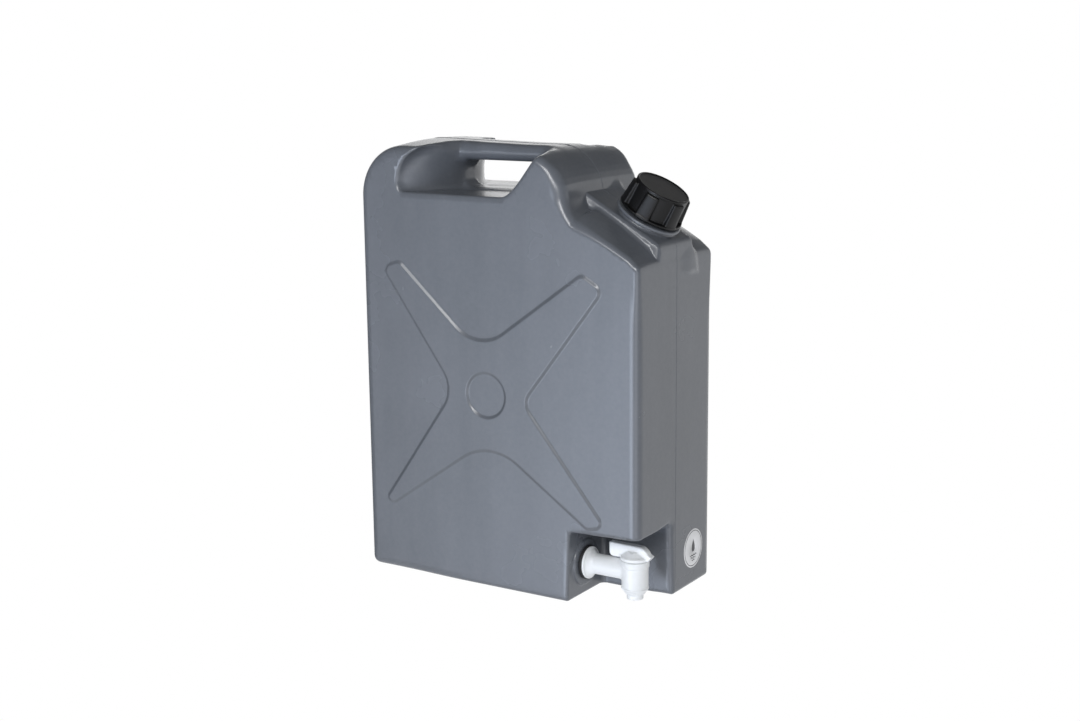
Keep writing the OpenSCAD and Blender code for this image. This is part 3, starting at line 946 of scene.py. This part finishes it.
# soft boxes: direction, strength, cosine where each starts and is full, tint
SOFT_BOXES = [
    ((0.10, -0.86, 0.49), 0.10, 0.60, 0.95, (1.0, 1.0, 1.0)),
    ((0.93, -0.30, 0.20), 0.06, 0.70, 0.97, (1.0, 0.99, 0.97)),
    ((0.62, -0.76, -0.23), 1.2, 0.925, 0.975, (0.95, 0.98, 1.08)),
    ((0.50, -0.82, 0.33), 2.0, 0.975, 0.990, (1.0, 1.0, 1.0)),
    ((-0.33, -0.91, -0.27), 3.4, 0.966, 0.990, (0.86, 0.98, 1.20)),
    ((-0.08, -0.96, -0.26), 2.4, 0.958, 0.985, (0.90, 0.98, 1.15)),
    ((-0.526, 0.826, 0.15), 0.6, 0.90, 0.97, (1.0, 1.0, 1.0)),
]


def build_world(world):
    world.use_nodes = True
    tree = world.node_tree
    tree.nodes.clear()
    white = add_node(tree, "ShaderNodeBackground", {"Color": (1, 1, 1, 1), "Strength": 1.0})
    view = add_node(tree, "ShaderNodeTexCoord", {}).outputs["Generated"]

    def calc(operation, a, b):
        return add_node(tree, "ShaderNodeMath", {0: a, 1: b}, operation=operation).outputs[0]

    def step_up(value, start, end):
        inputs = {"From Min": start, "From Max": end, "Value": value}
        return add_node(tree, "ShaderNodeMapRange", inputs,
                        interpolation_type="SMOOTHSTEP").outputs["Result"]

    def toward(direction):
        inputs = {0: view, 1: tuple(Vector(direction).normalized())}
        return add_node(tree, "ShaderNodeVectorMath", inputs,
                        operation="DOT_PRODUCT").outputs["Value"]

    def tinted(value, tint):
        return add_node(tree, "ShaderNodeVectorMath", {0: tint, "Scale": value},
                        operation="SCALE").outputs["Vector"]

    dz, dy, dx = toward((0, 0, 1)), toward((0, 1, 0)), toward((1, 0, 0))
    # table below the horizon, dimmer towards -x
    table = calc("MULTIPLY", calc("SUBTRACT", 1.0, step_up(dz, -0.30, 0.0)), TABLE_LEVEL)
    bright = calc("ADD", 0.25, calc("MULTIPLY", step_up(dx, -0.92, -0.66), 0.75))
    table = calc("MULTIPLY", table, bright)
    # backdrop on the +y side, low down, dark towards -x
    backdrop = calc("MULTIPLY", step_up(dy, 0.05, 0.45),
                    calc("SUBTRACT", 1.0, step_up(dz, 0.22, 0.42)))
    reach = calc("MULTIPLY", step_up(dx, -0.88, -0.62), BACKDROP_LEVEL)
    backdrop = calc("MULTIPLY", backdrop, reach)
    room = calc("MAXIMUM", calc("MAXIMUM", table, backdrop), ROOM_LEVEL)
    total = tinted(room, ROOM_TINT)
    for direction, strength, start, full, tint in SOFT_BOXES:
        level = calc("MULTIPLY", step_up(toward(direction), start, full), strength)
        total = add_node(tree, "ShaderNodeVectorMath", {0: tinted(level, tint), 1: total},
                         operation="ADD").outputs["Vector"]
    studio = add_node(tree, "ShaderNodeBackground", {"Color": total})
    path = add_node(tree, "ShaderNodeLightPath", {})
    mixed = add_node(tree, "ShaderNodeMixShader", {
        "Fac": path.outputs["Is Camera Ray"], 1: studio.outputs["Background"],
        2: white.outputs["Background"]})
    add_node(tree, "ShaderNodeOutputWorld", {"Surface": mixed.outputs["Shader"]})


scene = bpy.context.scene
scene.view_settings.view_transform = "Standard"
scene.world = bpy.data.worlds.new("studio")
build_world(scene.world)


# ----------------------------------------------------------------------------
# light and camera (metres)
# ----------------------------------------------------------------------------
def area_light(name, place, target, size, energy):
    data = bpy.data.lights.new(name, "AREA")
    data.shape = "RECTANGLE"
    data.size, data.size_y = size
    data.energy = energy
    data.color = (1, 1, 1)
    ob = bpy.data.objects.new(name, data)
    scene.collection.objects.link(ob)
    ob.location = place
    aim = Vector(target) - Vector(place)
    ob.rotation_euler = aim.to_track_quat("-Z", "Y").to_euler()


def add_camera(place, yaw, pitch, roll, lens):
    """Angles in degrees: yaw from +y towards -x, pitch downwards."""
    data = bpy.data.cameras.new("camera")
    ob = bpy.data.objects.new("camera", data)
    scene.collection.objects.link(ob)
    data.sensor_width = 36.0
    data.lens = lens
    data.clip_start = 0.05
    data.clip_end = 20.0
    yaw, pitch, roll = map(math.radians, (yaw, pitch, roll))
    forward = Vector((-math.sin(yaw) * math.cos(pitch), math.cos(yaw) * math.cos(pitch),
                      -math.sin(pitch)))
    level = Vector((math.cos(yaw), math.sin(yaw), 0))
    upright = level.cross(forward)
    right = math.cos(roll) * level + math.sin(roll) * upright
    up = -math.sin(roll) * level + math.cos(roll) * upright
    pose = Matrix((right, up, -forward)).transposed().to_4x4()
    pose.translation = Vector(place)
    ob.matrix_world = pose
    scene.camera = ob


area_light("key", place=(0.46, -2.08, 1.42), target=(0.0, -0.08, 0.27), size=(1.70, 0.24),
           energy=27.0)
add_camera(place=(0.9560, -1.4936, 0.5988), yaw=32.48, pitch=11.54, roll=-0.61,
           lens=55.346667)
